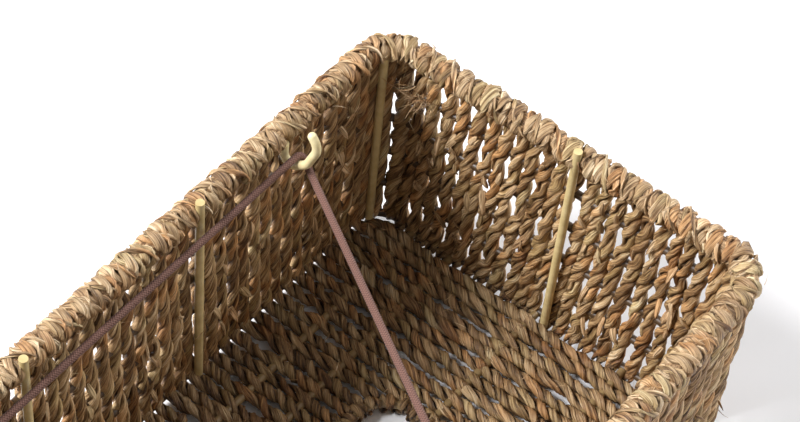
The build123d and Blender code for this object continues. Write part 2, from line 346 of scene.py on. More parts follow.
# long-wall ropes: down the wall, round the base wire and across the floor
for ci, x in enumerate(X_COLS):
    ys = slot_y(x)
    both = ys is None
    runs = [(1, 0)] if both else [(1, 1), (-1, 1)]
    for side, _ in runs:
        if both:
            pts = [(YM, TOP_Z), (YM, Z_BASE), (-YM, Z_BASE), (-YM, TOP_Z)]
        else:
            pts = [(YM, TOP_Z), (YM, Z_BASE), (ys + 1.2, Z_BASE)]
        G, s = lay_points(pts, 2.4, STEP)
        t2 = unit(np.gradient(G, axis=0))
        n2 = np.stack([t2[:, 1], -t2[:, 0]], -1)          # towards the inside
        c0 = TOP_Z - Z_BASE - 1.0
        z_st = [TOP_Z - z for z in (Z_RIM, WIRES_Z[3], WIRES_Z[2], WIRES_Z[1], WIRES_Z[0])]
        if both:
            total = s[-1]
            mids = [c0 + (YM - y) - 0.0 for y in (54.0, 37.0, 18.5, 0.0, -18.5, -37.0, -54.0)]
            st = z_st + [c0] + mids + [total - c0] + [total - q for q in z_st[::-1]]
        else:
            st = z_st + [c0] + [c0 + (YM - y) - 1.0 for y in (54.0, 37.0, ys + 1.0)]
        start = rng.integers(0, 2)
        threes = [0.30] * 5 + [0.85] * (len(st) - 11 if both else len(st) - 6) + ([0.30] * 5 if both else [])
        phase, near = twine(s, st, threes, start)
        drift = leaning(x, 128.0, -4.5) * (np.clip(G[:, 1], Z_BASE, 95.0) - 45.0) / 90.0
        wire_like = np.ones_like(s)
        if both:
            # no wire crosses the floor at +-18.5
            for k in (8, 10):
                wire_like *= 1 - 0.8 * np.exp(-((s - st[k]) / 3.5) ** 2)
        wall_phase = strand_phase(s)
        k_size = rng.uniform(0.95, 1.06)
        z_here = G[:, 1]
        on_wall = np.clip((z_here - 8) / 6, 0, 1)
        sd = np.where(G[:, 0] > 0, 1, -1) if both else np.full(len(s), side)
        y_here = G[:, 0] if both else side * G[:, 0]
        pull = [0.0, 0.0]
        for k, gap in ((0, ci - 1), (1, ci)):
            pull[k] = (eye_pull(eyes["back"], gap, z_here) * (sd > 0) * on_wall
                       + eye_pull(eyes["front"], gap, z_here) * (sd < 0) * on_wall
                       + eye_pull(eyes["floor"], gap, y_here) * (z_here < 5.5) * (np.abs(y_here) < 68))
        eye = np.clip((pull[0] + pull[1]) / 1.7, 0, 1)
        sec_w, sec_f = gauge(near, k_size, eye=eye), floor_gauge(near * wire_like, k_size, eye=eye)
        wq = np.clip((z_here - Z_BASE - 1) / 5, 0, 1)
        sec = sec_w
        lean = jitter(s, 0.17)
        shift = np.zeros(len(s))
        for wall_side, stakes in ((1, STAKES_BACK), (-1, STAKES_FRONT)):
            on = on_wall * (sd == wall_side)
            shift = shift + neighbours(x, stakes, 3.4) * on
            if any(abs(x - q) < 3.4 for q in stakes):
                lean = lean - 0.35 * on
        inward = np.zeros(len(s))
        for hx, hs in HOOKS:
            if abs(x - hx) < 2.6:
                top = np.clip((z_here - 73) / 6, 0, 1) * (sd == hs)
                inward = inward - 2.7 * top
            elif abs(x - hx) < 7.5:
                top = np.clip((z_here - 70) / 10, 0, 1) * (sd == hs)
                shift = shift + math.copysign(0.9, x - hx) * top
        lat = jitter(s, 0.26) + shift + pull[0] - pull[1]
        G2 = G + n2 * (lean + inward)[:, None]
        yy = G2[:, 0] if both else side * G2[:, 0]
        ny = n2[:, 0] if both else side * n2[:, 0]
        P = np.stack([x + drift + lat, yy, G2[:, 1]], -1)
        N = np.stack([0 * lat, ny, n2[:, 1]], -1)
        tone = 0.50 + rng.normal(0, 0.05)
        cut1 = int(np.searchsorted(s, c0 + 0.5))
        seed_state = rng.integers(1 << 30)

        face_w = np.where(sd > 0, FACE["back"], FACE["front"]) if both else (FACE["back"] if side > 0 else FACE["fore"])
        sec_w["front"] = face_w + np.zeros_like(s)
        sec_f["front"] = (FACE["floor"] if side > 0 else FACE["floor_fore"]) + np.zeros_like(s)

        def part(i0, i1, batch, tip, dt=0.0, on_floor=False):
            sl = slice(i0, i1)
            rope(batch, P[sl], N[sl], phase=(phase if on_floor else wall_phase)[sl], tip=tip, tone=tone + dt,
                 **{k: (v[sl] if isinstance(v, np.ndarray) else v)
                    for k, v in (sec_f if on_floor else sec_w).items()})

        # painted shade: the floor lengths of each rope get a tone 0.03 lower than its wall lengths
        part(0, cut1 + 1, walls["back" if side > 0 else "front"], (0.5, 1.0))
        if both:
            cut2 = int(np.searchsorted(s, s[-1] - c0 - 0.5))
            mid = (cut1 + cut2) // 2
            part(cut1 - 1, mid + 1, floor_parts["rear"], (1.0, 0.9), -0.03, True)
            part(mid - 1, cut2 + 1, floor_parts["fore"], (0.9, 1.0), -0.03, True)
            part(cut2 - 1, len(s), walls["front"], (1.0, 0.5))
        else:
            part(cut1 - 1, len(s), floor_parts["rear" if side > 0 else "fore"], (1.0, 0.5), -0.03, True)

# short-wall ropes: down the wall and hooked under the base wire
for side, name in ((1, "right"), (-1, "left")):
    cols = Y_COLS if side > 0 else [-q for q in Y_COLS[::-1]]
    for ci, y in enumerate(cols):
        pts = [(XM, TOP_Z), (XM, 3.6), (XM - 3.4, 2.6)]
        G, s = lay_points(pts, 1.6, STEP)
        t2 = unit(np.gradient(G, axis=0))
        n2 = np.stack([t2[:, 1], -t2[:, 0]], -1)
        st = [TOP_Z - z for z in (Z_RIM, WIRES_Z[3], WIRES_Z[2], WIRES_Z[1], WIRES_Z[0], Z_BASE)]
        phase, near = twine(s, st, 0.35, rng.integers(0, 2))
        k_size = rng.uniform(0.95, 1.06)
        left_eye, right_eye = (eye_pull(eyes[name], g, G[:, 1]) * np.clip((G[:, 1] - 6) / 5, 0, 1)
                               for g in (ci - 1, ci))
        drift = leaning(y, 66.0, -7.5 * side) * (np.clip(G[:, 1], 0, 95.0) - 45.0) / 90.0
        sec = gauge(near, k_size, eye=np.clip((left_eye + right_eye) / 1.7, 0, 1))
        low = np.clip((5.0 - G[:, 1]) / 2.0, 0, 1)
        sec["hn"] = sec["hn"] * (1 - 0.55 * low)
        sec["spread"] = sec["spread"] * (1 - low)
        stake_y = -4.7 * side
        lat = jitter(s, 0.26) + neighbours(y, (stake_y,), 3.4) + left_eye - right_eye
        lean = jitter(s, 0.16) - (0.35 if abs(y - stake_y) < 3.4 else 0.0)
        G2 = G + n2 * lean[:, None]
        P = np.stack([side * G2[:, 0], y + drift + lat, np.maximum(G2[:, 1], 2.4)], -1)
        N = np.stack([side * n2[:, 0], 0 * lat, n2[:, 1]], -1)
        rope(walls[name], P, N, phase=strand_phase(s, 8.4), tone=0.52 + rng.normal(0, 0.05), front=FACE[name], **sec)

# corner ropes
for name, sx, sy in (("corner_back_right", 1, 1), ("corner_back_left", -1, 1),
                     ("corner_front_left", -1, -1), ("corner_front_right", 1, -1)):
    for ci, deg in enumerate(CORNER_DEG):
        ang = math.radians(deg)
        o = np.array([sx * math.cos(ang), sy * math.sin(ang)])
        tdir = np.array([-o[1], o[0]])
        z = np.linspace(TOP_Z, 3.0, int(86 / STEP))
        s = TOP_Z - z
        st = [TOP_Z - q for q in (Z_RIM, WIRES_Z[3], WIRES_Z[2], WIRES_Z[1], WIRES_Z[0], Z_BASE)]
        phase, near = twine(s, st, 0.35, rng.integers(0, 2))
        lean = jitter(s, 0.2)
        lat = jitter(s, 0.3)
        r = RC - lean
        P = np.stack([sx * XC + o[0] * r + tdir[0] * lat, sy * YC + o[1] * r + tdir[1] * lat, z], -1)
        N = np.stack([np.full(len(z), -o[0]), np.full(len(z), -o[1]), 0 * z], -1)
        rope(walls[name], P, N, phase=strand_phase(s), tone=0.5 + rng.normal(0, 0.05),
             **gauge(near, 1.14))

# floor ropes beside the short walls
for x in (-127.4, 127.4):
    y = np.linspace(-64, 64, int(128 / STEP))
    s = y + 64
    phase, near = twine(s, [64 + q for q in (-54.0, -37.0, -18.5, 0.0, 18.5, 37.0, 54.0)], 0.9, 0)
    P = np.stack([x + jitter(s, 0.3), y, Z_BASE + jitter(s, 0.2)], -1)
    N = np.tile([0.0, 0.0, 1.0], (len(y), 1))
    h = len(y) // 2
    sec = floor_gauge(near, 1.0)
    for sl, key in ((slice(0, h + 1), "fore"), (slice(h - 1, len(y)), "rear")):
        # painted shade: these floor ropes are toned darker than the wall ropes
        rope(floor_parts[key], P[sl], N[sl], phase=phase[sl], tone=0.48, tip=(0.9, 0.9),
             **{k2: (v[sl] if isinstance(v, np.ndarray) else v) for k2, v in sec.items()})


# short floor ropes round the inner side of the corners
for sx in (1, -1):
    for sy in (1, -1):
        ang = np.linspace(math.radians(-8), math.radians(98), 44)
        P = np.stack([sx * (XC + 6.3 * np.cos(ang)), sy * (YC + 6.3 * np.sin(ang)), np.full(44, Z_BASE)], -1)
        N = np.tile([0.0, 0.0, 1.0], (44, 1))
        # painted shade: these floor ropes are toned darker than the wall ropes
        rope(floor_parts["rear" if sy > 0 else "fore"], P, N, tone=0.46, tip=(0.8, 0.8),
             **floor_gauge(np.zeros(44), 0.96))


# ------------------------------------------------- bound rim and slot border
def ring_at(s, hx, hy, r):
    """Point, outward direction and run direction at distance s round a rounded
    rectangle, from the left end of the +Y side, clockwise seen from above."""
    cx, cy = hx - r, hy - r
    arc = math.pi * r / 2
    L = [2 * cx, arc, 2 * cy, arc, 2 * cx, arc, 2 * cy, arc]
    s = s % sum(L)
    starts = [((-cx, hy), 90), ((cx, cy), 90), ((hx, cy), 0), ((cx, -cy), 0),
              ((cx, -hy), -90), ((-cx, -cy), -90), ((-hx, -cy), 180), ((-cx, cy), 180)]
    for k in range(8):
        if s <= L[k] or k == 7:
            (px, py), deg = starts[k]
            if k % 2 == 0:
                a = math.radians(deg)
                o = np.array([math.cos(a), math.sin(a)])
                t = np.array([o[1], -o[0]])
                return np.array([px, py]) + t * s, o, t
            a = math.radians(deg) - s / r
            o = np.array([math.cos(a), math.sin(a)])
            return np.array([px, py]) + o * r, o, np.array([o[1], -o[0]])
        s -= L[k]


def perimeter(hx, hy, r):
    return 4 * (hx - r) + 4 * (hy - r) + 2 * math.pi * r


def wraps(batch, hx, hy, rc, zc, count, R, a0, a1, slant, step, tone, gaps=(), **kw):
    """Rope loops laid side by side over a ring wire. a0..a1: degrees about the
    wire, from the outer side over the top to the inner side."""
    per = perimeter(hx, hy, rc)
    for i in range(count):
        s0 = per * (i + 0.5) / count + rng.uniform(-0.5, 0.5)
        p0, o0, t0 = ring_at(s0, hx, hy, rc)
        Ri = R + rng.uniform(-0.35, 0.35)
        tilt = slant + rng.uniform(-0.25, 0.3)
        push = 0.0
        dip = 0.0
        for gx, gy, gw in gaps:
            d = np.array([gx, gy]) - p0
            along = d @ t0
            if abs(d @ o0) < 6 and abs(along) < 9:
                push -= math.copysign(gw * math.exp(-(along / 5.0) ** 2), along)
        al0, al1 = a0 + rng.uniform(-8, 8), a1 + rng.uniform(-8, 8)
        n = int(math.radians(al1 - al0) * Ri / step) + 1
        f = np.linspace(0, 1, n)
        al = np.radians(al0 + (al1 - al0) * f)
        shift = s0 + push * np.sin(np.clip((np.degrees(al) - 60) / 120, 0, 1) * np.pi / 2) \
            + tilt * (f - 0.5) * per / count + 0.25 * np.sin(f * 5 + rng.uniform(0, 6))
        rad = Ri + 0.22 * np.sin(f * rng.uniform(4, 9) + rng.uniform(0, 6))
        P = np.zeros((n, 3)); N = np.zeros((n, 3))
        for k in range(n):
            p, o, t = ring_at(shift[k], hx, hy, rc)
            c, q = math.cos(al[k]), math.sin(al[k])
            P[k] = (p[0] + o[0] * c * rad[k], p[1] + o[1] * c * rad[k], zc + q * rad[k])
            N[k] = (o[0] * c, o[1] * c, q)
        rope(batch["rear" if p0[1] > 0 else "fore"], P, N, tone=tone + rng.normal(0, 0.06), **kw)


rim_parts = {"rear": Batch(), "fore": Batch()}
stake_gaps = [(x, YM - 3.05, 1.7) for x in STAKES_BACK] + [(x, -YM + 3.05, 1.7) for x in STAKES_FRONT] \
    + [(XM - 3.05, -4.7, 1.7), (-XM + 3.05, 4.7, 1.7)] \
    + [(hx, hs * (YM - 2), 1.2) for hx, hs in HOOKS]
# painted light: the rim wraps (0.66) and the strips over them (0.70) are toned paler than the wall ropes, as the rim
# stands in the light
wraps(rim_parts, XM, YM, RC, Z_RIM, 148, 3.55, -70, 250, 1.0, 0.9, 0.66, gaps=stake_gaps,
      plies=2, hn=0.38, hb=1.30, a=1.62, b=0.88, lay=15.0, tone_var=0.11, sides=12, wob=0.09,
      groove=0.18, lobes=3)
# loose leaf strips lying over the wraps
wraps(rim_parts, XM, YM, RC, Z_RIM, 95, 4.35, -40, 225, 1.5, 1.1, 0.70, gaps=stake_gaps,
      plies=1, hn=0.15, hb=0.5, a=0.85, b=0.42, lay=23.0, tone_var=0.13, sides=8, wob=0.10,
      groove=0.0)

slot_b = Batch()
wraps({"rear": slot_b, "fore": slot_b}, SLOT_X, SLOT_Y, SLOT_R, Z_BASE, 66, 2.35, -150, 165, 0.6, 0.9, 0.50,
      plies=2, hn=0.45, hb=1.15, a=1.4, b=0.95, lay=16.0, tone_var=0.10, sides=10, wob=0.08)


def padding(batch, hx, hy, rc, zc, rad, tone, half):
    """Leaf packed round a ring wire under its wraps, one half of the ring."""
    per = perimeter(hx, hy, rc)
    mid_right = (2 * (hx - rc)) + math.pi * rc / 2 + (hy - rc)
    s0 = mid_right if half == "fore" else mid_right - per / 2
    q = np.linspace(s0, s0 + per / 2, int(per / 2 / 1.6))
    pts = [ring_at(v, hx, hy, rc) for v in q]
    P = np.array([(p[0], p[1], zc) for p, o, t in pts])
    N = np.array([(0.0, 0.0, 1.0) for _ in pts])
    T, N, B = frames(P, N)
    s = q - q[0]
    lump = rad * (1 + 0.10 * np.sin(2 * np.pi * s / 5.3) + 0.05 * np.sin(s / 2.3))
    batch.strand(P, N, B, lump, lump, s, tone, 0.5, sides=14, wob=0.05, tip=(1, 1), groove=0.0)


# painted shade: the padding under the wraps is toned 0.30, much darker than the wraps over it
for key in ("rear", "fore"):
    padding(rim_parts[key], XM, YM, RC, Z_RIM, 3.35, 0.30, key)

# ------------------------------------------------------------- stray fibres
fray = Batch()


def fibre(p, d, length, width, curl, tone, sides=5, flat=0.35):
    n = max(5, int(length / 0.8))
    d = unit(d)
    side = unit(np.cross(d, rng.normal(size=3)))
    up = np.cross(side, d)
    f = np.linspace(0, 1, n)
    bend = curl * length
    P = (np.asarray(p) + np.outer(f * length, d) + np.outer(bend * f ** 2, side)
         + np.outer(0.3 * bend * np.sin(f * rng.uniform(2, 5)) * f, up))
    T = unit(np.gradient(P, axis=0))
    er = unit(np.cross(T, side + 1e-3)); et = np.cross(T, er)
    w = width * (1 - 0.65 * f)
    fray.strand(P, er, et, w, w * flat, f * length, tone, rng.uniform(0, 1), sides=sides,
                wob=0.05, tip=(1.0, 0.5), groove=0.0)


# loose ends along the rim and walls
per = perimeter(XM, YM, RC)
for i in range(150):
    s0 = rng.uniform(0, per)
    p, o, t = ring_at(s0, XM, YM, RC)
    al = math.radians(rng.uniform(-50, 230))
    R = 5.0
    q = np.array([p[0] + o[0] * math.cos(al) * R, p[1] + o[1] * math.cos(al) * R, Z_RIM + math.sin(al) * R])
    out = np.array([o[0] * math.cos(al), o[1] * math.cos(al), math.sin(al)])
    tt = np.array([t[0], t[1], 0])
    d = 0.35 * out + tt * rng.choice([-1, 1]) * rng.uniform(0.5, 1) + rng.normal(0, 0.3, 3)
    fibre(q, d, rng.uniform(2, 6), rng.uniform(0.10, 0.2), rng.uniform(-0.3, 0.5), rng.uniform(0.45, 0.9))
for i in range(230):
    s0 = rng.uniform(0, per)
    p, o, t = ring_at(s0, XM, YM, RC)
    z = rng.uniform(5, 84)
    inn = rng.choice([-1, 1])
    q = np.array([p[0] + o[0] * inn * 3.9, p[1] + o[1] * inn * 3.9, z])
    d = np.array([o[0] * inn, o[1] * inn, 0]) * 0.35 + np.array([t[0], t[1], 0]) * rng.uniform(-1, 1) \
        + np.array([0, 0, rng.uniform(-1, 1)])
    fibre(q, d, rng.uniform(2, 7), rng.uniform(0.09, 0.2), rng.uniform(-0.4, 0.6), rng.uniform(0.3, 0.8))
# cut blade ends
for i in range(34):
    s0 = rng.uniform(0, per)
    p, o, t = ring_at(s0, XM, YM, RC)
    z = rng.uniform(6, 80)
    q = np.array([p[0] + o[0] * 3.4, p[1] + o[1] * 3.4, z])
    d = np.array([o[0], o[1], 0]) * 0.7 + np.array([t[0], t[1], 0]) * rng.uniform(-1, 1) + np.array([0, 0, rng.uniform(-0.6, 0.6)])
    fibre(q, d, rng.uniform(3, 6.5), rng.uniform(0.45, 0.8), rng.uniform(-0.2, 0.3), rng.uniform(0.3, 0.6), sides=6, flat=0.3)
# the tuft in the far corner
for i in range(85):
    q = np.array([128.2, 56.5, 79.0]) + rng.normal(0, 1, 3) * np.array([0.8, 3.8, 1.8])
    d = np.array([-0.7, rng.normal(0, 0.9), rng.normal(0, 0.8)])
    fibre(q, d, rng.uniform(3, 8), rng.uniform(0.10, 0.24), rng.uniform(-0.8, 0.9), rng.uniform(0.3, 0.8))
# broad leaf ends that stand out of the inner faces
def leaf_end(p, d, out, length, width, tone):
    n = 12
    f = np.linspace(0, 1, n)
    d, out = unit(np.asarray(d, float)), np.asarray(out, float)
    side = unit(np.cross(d, out))
    lift = -0.9 + 2.3 * f ** 1.3 + 0.5 * np.sin(f * rng.uniform(2, 5))
    sway = rng.uniform(-1.1, 1.1) * f ** 2
    P = np.asarray(p) + np.outer(f * length, d) + np.outer(lift, out) + np.outer(sway, side)
    T = unit(np.gradient(P, axis=0))
    turn = rng.uniform(-0.5, 0.5) + f * rng.uniform(-0.6, 0.6)
    base = unit(np.cross(T, np.broadcast_to(side, T.shape)))
    er = unit(base * np.cos(turn)[:, None] + np.cross(T, base) * np.sin(turn)[:, None])
    et = np.cross(T, er)
    w = width * np.sin(np.pi * np.clip(0.22 + 0.76 * f, 0, 1)) ** 0.8 + 0.06
    fray.strand(P, er, et, w, 0.34 * w + 0.10, f * length, tone, rng.uniform(0, 1), sides=10,
                wob=0.10, tip=(1.0, 0.4), groove=0.20, lobes=3)


for face, count in (("right", 62), ("back", 96), ("left", 34), ("front", 60)):
    for i in range(count):
        z = rng.uniform(14, 78)
        d = np.array([0.0, 0.0, rng.choice([-1, 1])])
        slant = rng.uniform(-0.45, 0.45)
        if face in ("right", "left"):
            sx = 1 if face == "right" else -1
            y = rng.uniform(-56, 58)
            if abs(y + 4.7 * sx) < 6:
                continue
            leaf_end((sx * (XM - 2.1), y, z), d + np.array([0, slant, 0]), (-sx, 0, 0), rng.uniform(5, 10),
                     rng.uniform(0.8, 1.35), rng.uniform(0.40, 0.72))
        else:
            sy = 1 if face == "back" else -1
            x = rng.uniform(-116, 116)
            if abs(abs(x) - 77) < 8 or abs(x) < 8 or abs(x - 36.3) < 6 or abs(x + 41.3) < 6:
                continue
            leaf_end((x, sy * (YM - 2.1), z), d + np.array([slant, 0, 0]), (0, -sy, 0), rng.uniform(5, 10),
                     rng.uniform(0.8, 1.35), rng.uniform(0.40, 0.72))
# floor litter of loose fibres
for i in range(150):
    x, y = rng.uniform(-126, 126), rng.uniform(-64, 64)
    ys = slot_y(x)
    if ys is not None and abs(y) < ys + 4:
        continue
    fibre((x, y, 7.6), (rng.normal(), rng.normal(), 0.25), rng.uniform(2, 6), rng.uniform(0.08, 0.18),
          rng.uniform(-0.4, 0.5), rng.uniform(0.3, 0.7))


# ------------------------------------------------------------------ materials
def new_mat(name):
    m = bpy.data.materials.new(name)
    m.use_nodes = True
    nt = m.node_tree
    for n in list(nt.nodes):
        nt.nodes.remove(n)
    out = nt.nodes.new("ShaderNodeOutputMaterial")
    bsdf = nt.nodes.new("ShaderNodeBsdfPrincipled")
    nt.links.new(bsdf.outputs["BSDF"], out.inputs["Surface"])
    return m, nt, bsdf


def math_node(nt, op, a, b=None, clamp=False):
    n = nt.nodes.new("ShaderNodeMath")
    n.operation = op
    n.use_clamp = clamp
    for i, v in enumerate((a, b)):
        if v is None:
            continue
        if isinstance(v, (int, float)):
            n.inputs[i].default_value = v
        else:
            nt.links.new(v, n.inputs[i])
    return n.outputs[0]


def mix_rgb(nt, fac, a, b, mode="MIX"):
    n = nt.nodes.new("ShaderNodeMix")
    n.data_type = "RGBA"
    n.blend_type = mode
    for sock, v in ((n.inputs["Factor"], fac), (n.inputs["A"], a), (n.inputs["B"], b)):
        pass
    ins = {"f": n.inputs[0], "a": n.inputs[6], "b": n.inputs[7]}
    for key, v in (("f", fac), ("a", a), ("b", b)):
        if isinstance(v, (int, float)):
            ins[key].default_value = v
        elif isinstance(v, tuple):
            ins[key].default_value = (*v, 1.0)
        else:
            nt.links.new(v, ins[key])
    return n.outputs[2]


def ramp(nt, fac, stops):
    n = nt.nodes.new("ShaderNodeValToRGB")
    cr = n.color_ramp
    while len(cr.elements) < len(stops):
        cr.elements.new(0.5)
    for e, (p, c) in zip(cr.elements, stops):
        e.position = p
        e.color = (*c, 1.0)
    nt.links.new(fac, n.inputs[0])
    return n.outputs[0]


def noise(nt, vec, scale, detail=2.0, rough=0.55):
    n = nt.nodes.new("ShaderNodeTexNoise")
    n.inputs["Scale"].default_value = scale
    n.inputs["Detail"].default_value = detail
    n.inputs["Roughness"].default_value = rough
    nt.links.new(vec, n.inputs["Vector"])
    return n.outputs[0]


def stretch(nt, vec, k):
    n = nt.nodes.new("ShaderNodeMapping")
    n.vector_type = "POINT"
    n.inputs["Scale"].default_value = k
    nt.links.new(vec, n.inputs["Vector"])
    return n.outputs[0]


def attribute(nt, name, kind="Fac"):
    n = nt.nodes.new("ShaderNodeAttribute")
    n.attribute_name = name
    return n.outputs[kind]


def seagrass(name, painted_light_shade_gain=1.0, grey=0.0, groove=0.22):
    m, nt, bsdf = new_mat(name)
    fib = attribute(nt, "sg_fib", "Vector")
    tone, hue, painted_shade = (attribute(nt, k) for k in ("sg_tone", "sg_hue", "sg_painted_shade"))
    streak = noise(nt, stretch(nt, fib, (1.3, 1.3, 0.07)), 1.0, 3.0, 0.66)
    fine = noise(nt, stretch(nt, fib, (4.2, 4.2, 0.22)), 1.0, 3.0, 0.68)
    split = noise(nt, stretch(nt, fib, (1.05, 1.05, 0.045)), 1.0, 1.0, 0.4)
    patch = noise(nt, stretch(nt, fib, (0.12, 0.12, 0.12)), 1.0, 2.0, 0.5)

    def centred(v, k):
        return math_node(nt, "MULTIPLY", math_node(nt, "SUBTRACT", v, 0.5), k)

    t = math_node(nt, "MULTIPLY", tone, 0.60)
    t = math_node(nt, "ADD", t, centred(streak, 1.15))
    t = math_node(nt, "ADD", t, centred(fine, 1.0))
    t = math_node(nt, "ADD", t, centred(patch, 0.55))
    t = math_node(nt, "ADD", t, 0.21, clamp=True)
    L = painted_light_shade_gain

    def shade(r, g, b):
        y = 0.3 * r + 0.6 * g + 0.1 * b
        return tuple(L * (v * (1 - grey) + y * grey) for v in (r, g, b))

    col = ramp(nt, t, [(0.0, shade(0.050, 0.022, 0.007)), (0.20, shade(0.165, 0.082, 0.030)),
                       (0.45, shade(0.375, 0.225, 0.100)), (0.68, shade(0.58, 0.395, 0.205)),
                       (1.0, shade(0.86, 0.70, 0.47))])
    # some strands rusty, some khaki green
    rust = ramp(nt, hue, [(0.0, (0, 0, 0)), (0.70, (0, 0, 0)), (0.92, (0.55, 0.55, 0.55)), (1.0, (0.8, 0.8, 0.8))])
    green = ramp(nt, hue, [(0.0, (0.55, 0.55, 0.55)), (0.14, (0.35, 0.35, 0.35)), (0.36, (0, 0, 0)), (1.0, (0, 0, 0))])
    col = mix_rgb(nt, rust, col, mix_rgb(nt, 1.0, col, (1.06, 0.82, 0.60), "MULTIPLY"))
    col = mix_rgb(nt, green, col, mix_rgb(nt, 1.0, col, (0.85, 0.92, 0.74), "MULTIPLY"))
    # painted shade: thin dark lines along the leaf, standing in for the shade in its splits; the same lines also go
    # into the bump
    split_shade = math_node(nt, "ABSOLUTE", math_node(nt, "SUBTRACT", split, 0.5))
    split_shade = math_node(nt, "MULTIPLY", split_shade, 24.0, clamp=True)
    split_shade = math_node(nt, "ADD", math_node(nt, "MULTIPLY", split_shade, 0.72), 0.28, clamp=True)
    # painted shade: the colour is darkened by the crevice mask down to groove, with green and blue darkened more
    g = math_node(nt, "ADD", math_node(nt, "MULTIPLY", painted_shade, 1 - groove), groove, clamp=True)
    g = math_node(nt, "MULTIPLY", g, split_shade)
    gc = nt.nodes.new("ShaderNodeCombineColor")
    nt.links.new(g, gc.inputs[0])
    nt.links.new(math_node(nt, "POWER", g, 1.15), gc.inputs[1])
    nt.links.new(math_node(nt, "POWER", g, 1.35), gc.inputs[2])
    col = mix_rgb(nt, 1.0, col, gc.outputs[0], "MULTIPLY")
    nt.links.new(col, bsdf.inputs["Base Color"])
    rough = math_node(nt, "ADD", math_node(nt, "MULTIPLY", streak, 0.35), 0.34, clamp=True)
    nt.links.new(rough, bsdf.inputs["Roughness"])
    bsdf.inputs["Specular IOR Level"].default_value = 0.5
    h = math_node(nt, "ADD", math_node(nt, "MULTIPLY", streak, 0.6), math_node(nt, "MULTIPLY", fine, 0.45))
    h = math_node(nt, "ADD", h, math_node(nt, "MULTIPLY", split_shade, 0.35))
    bump = nt.nodes.new("ShaderNodeBump")
    bump.inputs["Strength"].default_value = 1.0
    bump.inputs["Distance"].default_value = 0.0009
    nt.links.new(h, bump.inputs["Height"])
    nt.links.new(bump.outputs[0], bsdf.inputs["Normal"])
    return m


def wire_paint(name, base, dark):
    m, nt, bsdf = new_mat(name)
    tc = nt.nodes.new("ShaderNodeTexCoord")
    n1 = noise(nt, tc.outputs["Object"], 220.0, 3.0, 0.6)
    n2 = noise(nt, tc.outputs["Object"], 900.0, 2.0, 0.5)
    col = mix_rgb(nt, ramp(nt, n1, [(0.35, (0, 0, 0)), (0.7, (1, 1, 1))]), base, dark)
    nt.links.new(col, bsdf.inputs["Base Color"])
    nt.links.new(math_node(nt, "ADD", math_node(nt, "MULTIPLY", n1, 0.2), 0.33), bsdf.inputs["Roughness"])
    bsdf.inputs["Coat Weight"].default_value = 0.15
    bsdf.inputs["Coat Roughness"].default_value = 0.35
    bump = nt.nodes.new("ShaderNodeBump")
    bump.inputs["Strength"].default_value = 0.25
    bump.inputs["Distance"].default_value = 0.0001
    nt.links.new(n2, bump.inputs["Height"])
    nt.links.new(bump.outputs[0], bsdf.inputs["Normal"])
    return m


def elastic_mat(name):
    m, nt, bsdf = new_mat(name)
    fib = attribute(nt, "sg_fib", "Vector")          # x: turns about the cord, z: mm along it
    sep = nt.nodes.new("ShaderNodeSeparateXYZ")
    nt.links.new(fib, sep.inputs[0])
    th = math_node(nt, "MULTIPLY", sep.outputs[0], 2 * math.pi * 6)
    al = math_node(nt, "MULTIPLY", sep.outputs[2], 2 * math.pi / 0.90)
    p = math_node(nt, "SINE", math_node(nt, "ADD", th, al))
    q = math_node(nt, "SINE", math_node(nt, "SUBTRACT", th, al))
    h = math_node(nt, "MULTIPLY", math_node(nt, "ADD", p, q), 0.25)
    h = math_node(nt, "ADD", h, 0.5, clamp=True)
    tc = nt.nodes.new("ShaderNodeTexCoord")
    n1 = noise(nt, tc.outputs["Object"], 160.0, 3.0, 0.6)
    col = ramp(nt, h, [(0.0, (0.088, 0.036, 0.026)), (0.45, (0.146, 0.066, 0.048)), (1.0, (0.265, 0.132, 0.096))])
    col = mix_rgb(nt, math_node(nt, "MULTIPLY", n1, 0.35), col, (0.12, 0.060, 0.047))
    nt.links.new(col, bsdf.inputs["Base Color"])
    bsdf.inputs["Roughness"].default_value = 0.72
    bsdf.inputs["Sheen Weight"].default_value = 0.12
    bsdf.inputs["Sheen Roughness"].default_value = 0.4
    bump = nt.nodes.new("ShaderNodeBump")
    bump.inputs["Strength"].default_value = 1.0
    bump.inputs["Distance"].default_value = 0.00024
    nt.links.new(h, bump.inputs["Height"])
    nt.links.new(bump.outputs[0], bsdf.inputs["Normal"])
    return m


# painted light and shade: one seagrass in three copies, the rim copy (also on the loose fibres) brightened as if lit
# and the floor copy darkened as if in shade
M_WALL = seagrass("seagrass_wall", 1.10, 0.0, 0.06)
M_RIM = seagrass("seagrass_rim", 1.24, 0.10, 0.28)
M_FLOOR = seagrass("seagrass_floor", 0.86, 0.0, 0.06)
M_WIRE = wire_paint("cream_wire", (0.66, 0.53, 0.27), (0.52, 0.40, 0.18))
# painted shade: the floor and slot wires, cream like the stakes, are painted dark brown as they lie in the shade of the
# weave
M_SHADED_FLOOR_WIRE = wire_paint("shaded_floor_wire", (0.27, 0.185, 0.08), (0.16, 0.10, 0.042))
# painted shade: the wall, rim and base wires are painted near black so that they read as shade between the ropes
M_SHADE_DARK_WIRE = wire_paint("shade_dark_wire", (0.075, 0.042, 0.018), (0.045, 0.024, 0.010))
# painted light: the hooks take a brighter copy of the cream paint used on the stakes, as they stand in the light at the
# rim
M_HOOK = wire_paint("cream_hook", (0.86, 0.76, 0.45), (0.74, 0.62, 0.33))
M_ELASTIC = elastic_mat("elastic_braid")

